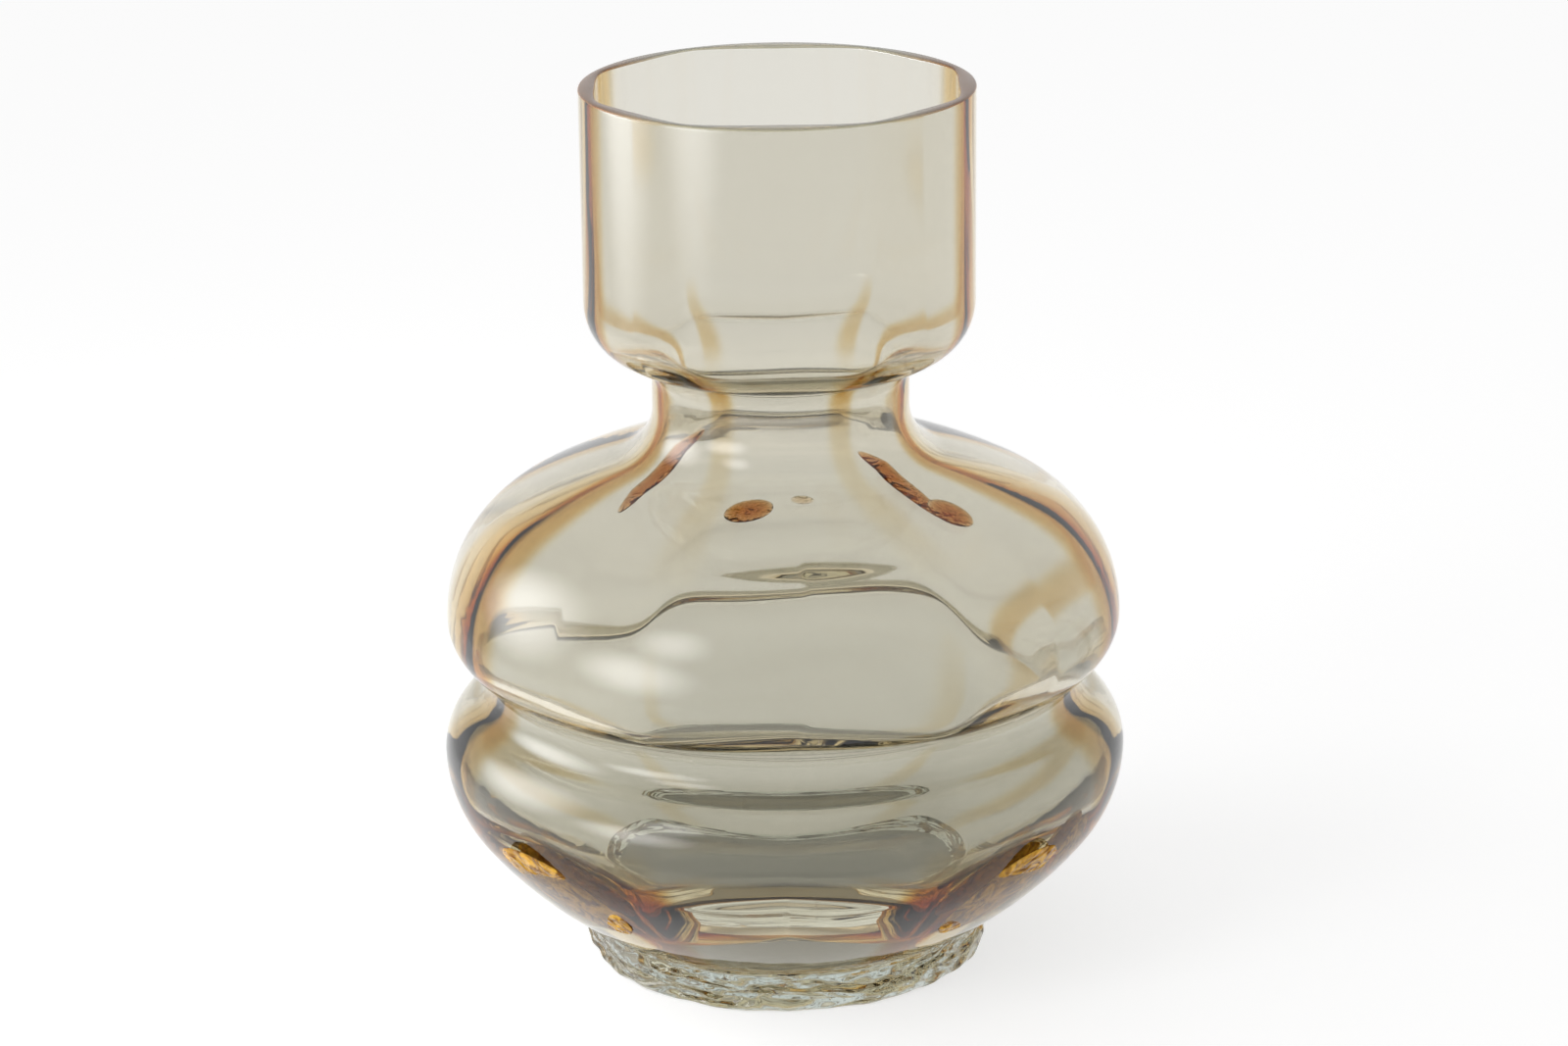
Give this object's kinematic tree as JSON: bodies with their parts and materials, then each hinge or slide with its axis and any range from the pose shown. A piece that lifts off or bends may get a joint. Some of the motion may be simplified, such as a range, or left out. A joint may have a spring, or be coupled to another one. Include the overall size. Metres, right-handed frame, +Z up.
{
  "type": "flower vase",
  "caption": "Gourd-shaped glass vase with a straight cup collar, a narrow waist, two round swells and a low disc foot.",
  "frame": {"origin": "centre of the foot's resting ring, on the surface that the vase stands on", "axes": "+Z up along the vase's axis; -Y is the front, the middle of a wide optic panel; +X to the right seen from the front"},
  "size_m": [0.1544, 0.1544, 0.2],
  "materials": {
    "amber_glass": "thin honey-amber blown glass, fire polished",
    "clear_glass": "colourless blown glass with a faint grey-green cast, fire polished, ground rim",
    "foot_glass": "thick colourless glass with a faint grey-green cast, slightly wavy"
  },
  "bodies": {
    "root": {"amber_lining": "amber_glass", "clear_casing": "clear_glass", "clear_foot": "foot_glass"}
  },
  "joints": []
}
